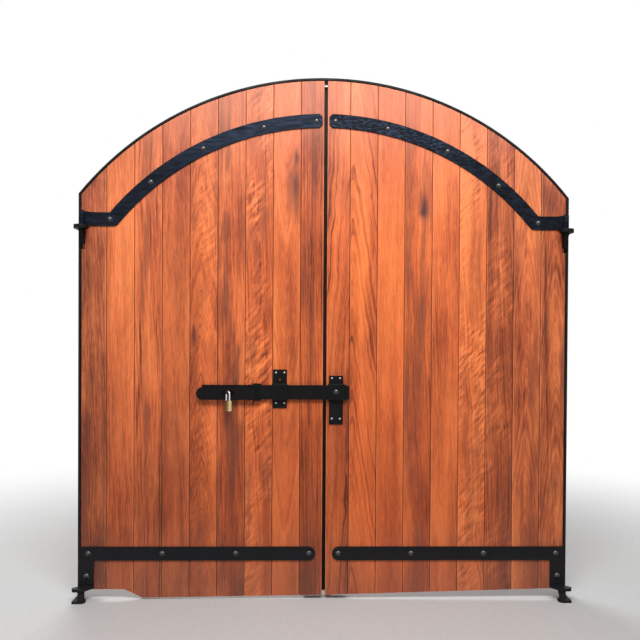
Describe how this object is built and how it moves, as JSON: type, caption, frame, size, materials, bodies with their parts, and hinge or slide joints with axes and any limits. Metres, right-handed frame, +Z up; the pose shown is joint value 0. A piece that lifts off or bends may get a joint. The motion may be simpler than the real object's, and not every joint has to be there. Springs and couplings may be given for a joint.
{
  "type": "double gate",
  "caption": "Arched pair of boarded hardwood gates in a slim steel lining, with black strap hinges, sliding bar bolt, hasp and padlock.",
  "frame": {"origin": "on the ground, in the middle of the gateway, in the plane of the boards' front faces, which is also the middle of the depth over all", "axes": "+X along the gateway to the right as seen from outside, +Y into the gateway, +Z up; the leaves open towards -Y"},
  "size_m": [2.574, 0.1583, 2.709],
  "materials": {
    "boards": "oiled",
    "framing": "oiled",
    "ironwork": "satin black",
    "lining": "satin black",
    "padlock_brass": "brushed",
    "padlock_steel": "polished"
  },
  "bodies": {
    "frame": {"arch_lining": "lining", "left_jamb": "lining", "right_jamb": "lining", "left_pintle": "ironwork", "right_pintle": "ironwork", "left_socket": "ironwork", "right_socket": "ironwork"},
    "left_leaf": {"left_board_1": "boards", "left_board_2": "boards", "left_board_3": "boards", "left_board_4": "boards", "left_board_5": "boards", "left_board_6": "boards", "left_board_7": "boards", "left_board_8": "boards", "left_board_9": "boards", "left_hanging_stile": "framing", "left_meeting_stile": "framing", "left_head_rail": "framing", "left_bottom_rail": "framing", "left_lock_rail": "framing", "left_lower_brace": "framing", "left_upper_brace": "framing", "closing_strip": "framing", "left_upper_strap": "ironwork", "left_lower_strap": "ironwork", "left_strap_bolts": "ironwork", "bolt_guide": "ironwork", "staple": "ironwork", "hasp_saddle": "ironwork"},
    "right_leaf": {"right_board_1": "boards", "right_board_2": "boards", "right_board_3": "boards", "right_board_4": "boards", "right_board_5": "boards", "right_board_6": "boards", "right_board_7": "boards", "right_board_8": "boards", "right_board_9": "boards", "right_hanging_stile": "framing", "right_meeting_stile": "framing", "right_head_rail": "framing", "right_bottom_rail": "framing", "right_lock_rail": "framing", "right_lower_brace": "framing", "right_upper_brace": "framing", "right_upper_strap": "ironwork", "right_lower_strap": "ironwork", "right_strap_bolts": "ironwork", "bolt_keeper": "ironwork"},
    "bolt_bar": {"bolt_bar": "ironwork"},
    "hasp": {"hasp": "ironwork", "padlock_body": "padlock_brass"},
    "padlock_shackle": {"padlock_shackle": "padlock_steel"}
  },
  "joints": [
    {"name": "left_leaf_hinge", "type": "hinge", "parent": "frame", "child": "left_leaf", "pos_m": [-1.243, -0.042, 1.968], "axis": [0, 0, -1], "range_deg": [0, 170]},
    {"name": "right_leaf_hinge", "type": "hinge", "parent": "frame", "child": "right_leaf", "pos_m": [1.243, -0.042, 1.968], "axis": [0, 0, 1], "range_deg": [0, 170]},
    {"name": "bar_slide", "type": "slide", "parent": "left_leaf", "child": "bolt_bar", "axis": [-1, 0, 0], "range_m": [0, 0.14]},
    {"name": "hasp_hinge", "type": "hinge", "parent": "left_leaf", "child": "hasp", "pos_m": [-0.35, -0.033, 1.073], "axis": [0, 0, 1], "range_deg": [0, 150]},
    {"name": "shackle_lift", "type": "slide", "parent": "hasp", "child": "padlock_shackle", "axis": [0, 0, 1], "range_m": [0, 0.012]}
  ]
}
